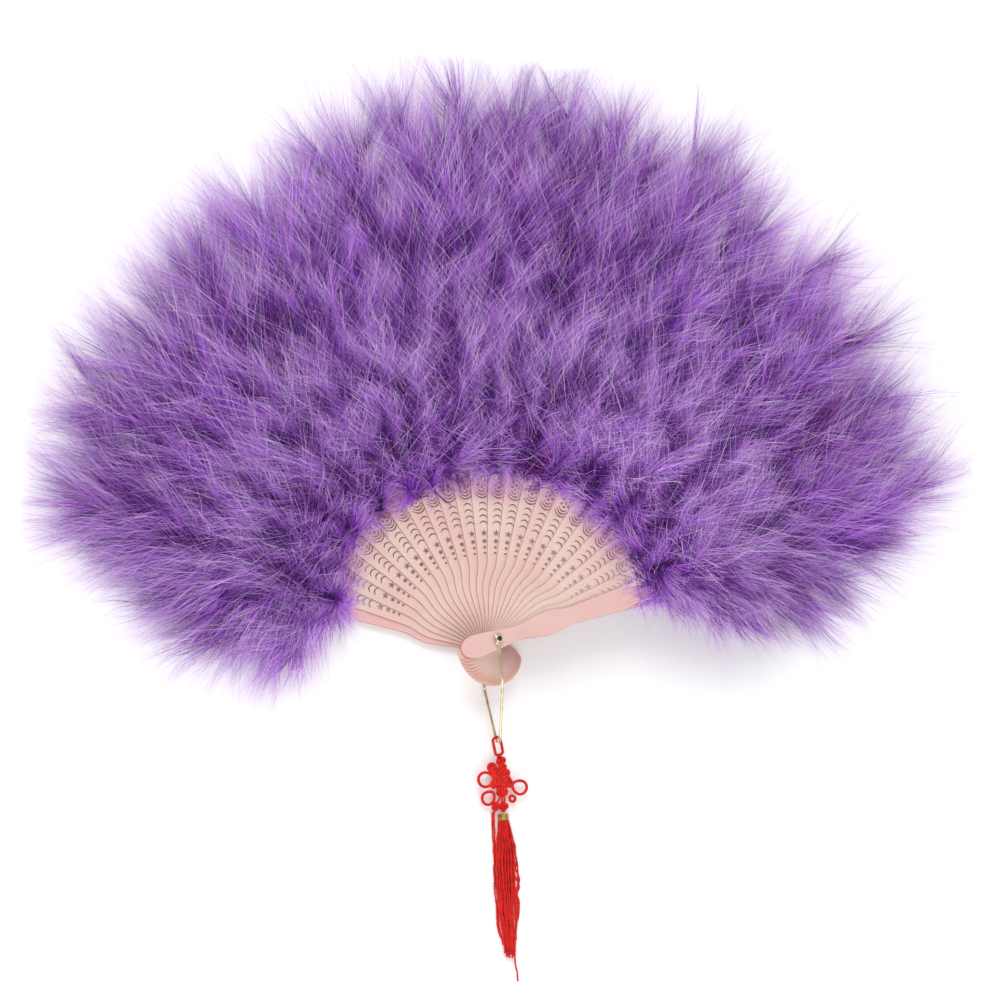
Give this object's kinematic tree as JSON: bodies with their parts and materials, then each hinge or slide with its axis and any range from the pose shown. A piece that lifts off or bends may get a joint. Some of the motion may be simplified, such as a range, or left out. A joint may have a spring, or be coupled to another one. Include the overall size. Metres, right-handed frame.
{
  "type": "folding feather fan",
  "caption": "Folding hand fan with a spray of soft feathers on each pierced stick, two guards, a rivet, and a wire bail that carries a knotted cord and tassel",
  "frame": {"origin": "on the rivet's axis, at the flat rear face of its rear head, which lies on the table", "axes": "+Z along the rivet towards the front of the fan, +Y up the middle of the open fan, +X to the right seen from the front"},
  "size_m": [0.5092, 0.4766, 0.038],
  "materials": {
    "plastic": "satin moulded plastic, pale pink",
    "feather": "soft dyed down feathers, violet with deep roots and pale tips",
    "wire": "bright pale gold wire",
    "red_cord": "twisted satin cord and threads, red",
    "gold_thread": "wound metallic thread, gold"
  },
  "bodies": {
    "rear_arm": {"rear_guard": "plastic", "rear_guard_feathers": "feather", "rivet": "wire"},
    "arm_01": {"stick_01": "plastic", "feathers_01": "feather"},
    "arm_02": {"stick_02": "plastic", "feathers_02": "feather"},
    "arm_03": {"stick_03": "plastic", "feathers_03": "feather"},
    "arm_04": {"stick_04": "plastic", "feathers_04": "feather"},
    "arm_05": {"stick_05": "plastic", "feathers_05": "feather"},
    "arm_06": {"stick_06": "plastic", "feathers_06": "feather"},
    "arm_07": {"stick_07": "plastic", "feathers_07": "feather"},
    "arm_08": {"stick_08": "plastic", "feathers_08": "feather"},
    "arm_09": {"stick_09": "plastic", "feathers_09": "feather"},
    "arm_10": {"stick_10": "plastic", "feathers_10": "feather"},
    "arm_11": {"stick_11": "plastic", "feathers_11": "feather"},
    "arm_12": {"stick_12": "plastic", "feathers_12": "feather"},
    "arm_13": {"stick_13": "plastic", "feathers_13": "feather"},
    "arm_14": {"stick_14": "plastic", "feathers_14": "feather"},
    "arm_15": {"stick_15": "plastic", "feathers_15": "feather"},
    "arm_16": {"stick_16": "plastic", "feathers_16": "feather"},
    "arm_17": {"stick_17": "plastic", "feathers_17": "feather"},
    "arm_18": {"stick_18": "plastic", "feathers_18": "feather"},
    "arm_19": {"stick_19": "plastic", "feathers_19": "feather"},
    "arm_20": {"stick_20": "plastic", "feathers_20": "feather"},
    "arm_21": {"stick_21": "plastic", "feathers_21": "feather"},
    "arm_22": {"stick_22": "plastic", "feathers_22": "feather"},
    "arm_23": {"stick_23": "plastic", "feathers_23": "feather"},
    "front_arm": {"front_guard": "plastic", "front_guard_feathers": "feather"},
    "bail": {"bail": "wire"},
    "knot": {"cord_loop": "red_cord", "charm_knot": "red_cord"},
    "tassel": {"tassel_collar": "gold_thread", "tassel_threads": "red_cord"}
  },
  "joints": [
    {"name": "fan_fold", "type": "hinge", "parent": "rear_arm", "child": "front_arm", "pos_m": [0, 0, 0], "axis": [0, 0, 1], "range_deg": [0, 145.5], "deforming": ["front_guard_feathers", "rear_guard_feathers"]},
    {"name": "arm_01_fold", "type": "hinge", "parent": "rear_arm", "child": "arm_01", "pos_m": [0, 0, 0], "axis": [0, 0, 1], "range_deg": [0, 4.1], "deforming": ["feathers_01"]},
    {"name": "arm_02_fold", "type": "hinge", "parent": "rear_arm", "child": "arm_02", "pos_m": [0, 0, 0], "axis": [0, 0, 1], "range_deg": [0, 10.29], "deforming": ["feathers_02"]},
    {"name": "arm_03_fold", "type": "hinge", "parent": "rear_arm", "child": "arm_03", "pos_m": [0, 0, 0], "axis": [0, 0, 1], "range_deg": [0, 16.48], "deforming": ["feathers_03"]},
    {"name": "arm_04_fold", "type": "hinge", "parent": "rear_arm", "child": "arm_04", "pos_m": [0, 0, 0], "axis": [0, 0, 1], "range_deg": [0, 22.67], "deforming": ["feathers_04"]},
    {"name": "arm_05_fold", "type": "hinge", "parent": "rear_arm", "child": "arm_05", "pos_m": [0, 0, 0], "axis": [0, 0, 1], "range_deg": [0, 28.86], "deforming": ["feathers_05"]},
    {"name": "arm_06_fold", "type": "hinge", "parent": "rear_arm", "child": "arm_06", "pos_m": [0, 0, 0], "axis": [0, 0, 1], "range_deg": [0, 35.05], "deforming": ["feathers_06"]},
    {"name": "arm_07_fold", "type": "hinge", "parent": "rear_arm", "child": "arm_07", "pos_m": [0, 0, 0], "axis": [0, 0, 1], "range_deg": [0, 41.24], "deforming": ["feathers_07"]},
    {"name": "arm_08_fold", "type": "hinge", "parent": "rear_arm", "child": "arm_08", "pos_m": [0, 0, 0], "axis": [0, 0, 1], "range_deg": [0, 47.43], "deforming": ["feathers_08"]},
    {"name": "arm_09_fold", "type": "hinge", "parent": "rear_arm", "child": "arm_09", "pos_m": [0, 0, 0], "axis": [0, 0, 1], "range_deg": [0, 53.62], "deforming": ["feathers_09"]},
    {"name": "arm_10_fold", "type": "hinge", "parent": "rear_arm", "child": "arm_10", "pos_m": [0, 0, 0], "axis": [0, 0, 1], "range_deg": [0, 59.81], "deforming": ["feathers_10"]},
    {"name": "arm_11_fold", "type": "hinge", "parent": "rear_arm", "child": "arm_11", "pos_m": [0, 0, 0], "axis": [0, 0, 1], "range_deg": [0, 66], "deforming": ["feathers_11"]},
    {"name": "arm_12_fold", "type": "hinge", "parent": "rear_arm", "child": "arm_12", "pos_m": [0, 0, 0], "axis": [0, 0, 1], "range_deg": [0, 72.19], "deforming": ["feathers_12"]},
    {"name": "arm_13_fold", "type": "hinge", "parent": "rear_arm", "child": "arm_13", "pos_m": [0, 0, 0], "axis": [0, 0, 1], "range_deg": [0, 78.38], "deforming": ["feathers_13"]},
    {"name": "arm_14_fold", "type": "hinge", "parent": "rear_arm", "child": "arm_14", "pos_m": [0, 0, 0], "axis": [0, 0, 1], "range_deg": [0, 84.57], "deforming": ["feathers_14"]},
    {"name": "arm_15_fold", "type": "hinge", "parent": "rear_arm", "child": "arm_15", "pos_m": [0, 0, 0], "axis": [0, 0, 1], "range_deg": [0, 90.76], "deforming": ["feathers_15"]},
    {"name": "arm_16_fold", "type": "hinge", "parent": "rear_arm", "child": "arm_16", "pos_m": [0, 0, 0], "axis": [0, 0, 1], "range_deg": [0, 96.95], "deforming": ["feathers_16"]},
    {"name": "arm_17_fold", "type": "hinge", "parent": "rear_arm", "child": "arm_17", "pos_m": [0, 0, 0], "axis": [0, 0, 1], "range_deg": [0, 103.14], "deforming": ["feathers_17"]},
    {"name": "arm_18_fold", "type": "hinge", "parent": "rear_arm", "child": "arm_18", "pos_m": [0, 0, 0], "axis": [0, 0, 1], "range_deg": [0, 109.33], "deforming": ["feathers_18"]},
    {"name": "arm_19_fold", "type": "hinge", "parent": "rear_arm", "child": "arm_19", "pos_m": [0, 0, 0], "axis": [0, 0, 1], "range_deg": [0, 115.52], "deforming": ["feathers_19"]},
    {"name": "arm_20_fold", "type": "hinge", "parent": "rear_arm", "child": "arm_20", "pos_m": [0, 0, 0], "axis": [0, 0, 1], "range_deg": [0, 121.71], "deforming": ["feathers_20"]},
    {"name": "arm_21_fold", "type": "hinge", "parent": "rear_arm", "child": "arm_21", "pos_m": [0, 0, 0], "axis": [0, 0, 1], "range_deg": [0, 127.9], "deforming": ["feathers_21"]},
    {"name": "arm_22_fold", "type": "hinge", "parent": "rear_arm", "child": "arm_22", "pos_m": [0, 0, 0], "axis": [0, 0, 1], "range_deg": [0, 134.09], "deforming": ["feathers_22"]},
    {"name": "arm_23_fold", "type": "hinge", "parent": "rear_arm", "child": "arm_23", "pos_m": [0, 0, 0], "axis": [0, 0, 1], "range_deg": [0, 140.28], "deforming": ["feathers_23"]},
    {"name": "bail_swing", "type": "hinge", "parent": "rear_arm", "child": "bail", "pos_m": [0, 0, 0], "axis": [0, 0, 1], "range_deg": [-65, 60]},
    {"name": "knot_tilt", "type": "hinge", "parent": "bail", "child": "knot", "pos_m": [0.00444, -0.04699, 0.019], "axis": [0.9956, 0.0941, 0], "range_deg": [-100, 20]},
    {"name": "tassel_swing", "type": "hinge", "parent": "knot", "child": "tassel", "pos_m": [0.01182, -0.08574, 0.0032], "axis": [0, 0, 1], "range_deg": [-45, 45]}
  ],
  "couplings": [
    {"joint": "arm_01_fold", "follows": "fan_fold", "ratio": 0.028179},
    {"joint": "arm_02_fold", "follows": "fan_fold", "ratio": 0.070722},
    {"joint": "arm_03_fold", "follows": "fan_fold", "ratio": 0.11327},
    {"joint": "arm_04_fold", "follows": "fan_fold", "ratio": 0.15581},
    {"joint": "arm_05_fold", "follows": "fan_fold", "ratio": 0.19835},
    {"joint": "arm_06_fold", "follows": "fan_fold", "ratio": 0.24089},
    {"joint": "arm_07_fold", "follows": "fan_fold", "ratio": 0.28344},
    {"joint": "arm_08_fold", "follows": "fan_fold", "ratio": 0.32598},
    {"joint": "arm_09_fold", "follows": "fan_fold", "ratio": 0.36852},
    {"joint": "arm_10_fold", "follows": "fan_fold", "ratio": 0.41107},
    {"joint": "arm_11_fold", "follows": "fan_fold", "ratio": 0.45361},
    {"joint": "arm_12_fold", "follows": "fan_fold", "ratio": 0.49615},
    {"joint": "arm_13_fold", "follows": "fan_fold", "ratio": 0.53869},
    {"joint": "arm_14_fold", "follows": "fan_fold", "ratio": 0.58124},
    {"joint": "arm_15_fold", "follows": "fan_fold", "ratio": 0.62378},
    {"joint": "arm_16_fold", "follows": "fan_fold", "ratio": 0.66632},
    {"joint": "arm_17_fold", "follows": "fan_fold", "ratio": 0.70887},
    {"joint": "arm_18_fold", "follows": "fan_fold", "ratio": 0.75141},
    {"joint": "arm_19_fold", "follows": "fan_fold", "ratio": 0.79395},
    {"joint": "arm_20_fold", "follows": "fan_fold", "ratio": 0.83649},
    {"joint": "arm_21_fold", "follows": "fan_fold", "ratio": 0.87904},
    {"joint": "arm_22_fold", "follows": "fan_fold", "ratio": 0.92158},
    {"joint": "arm_23_fold", "follows": "fan_fold", "ratio": 0.96412}
  ]
}
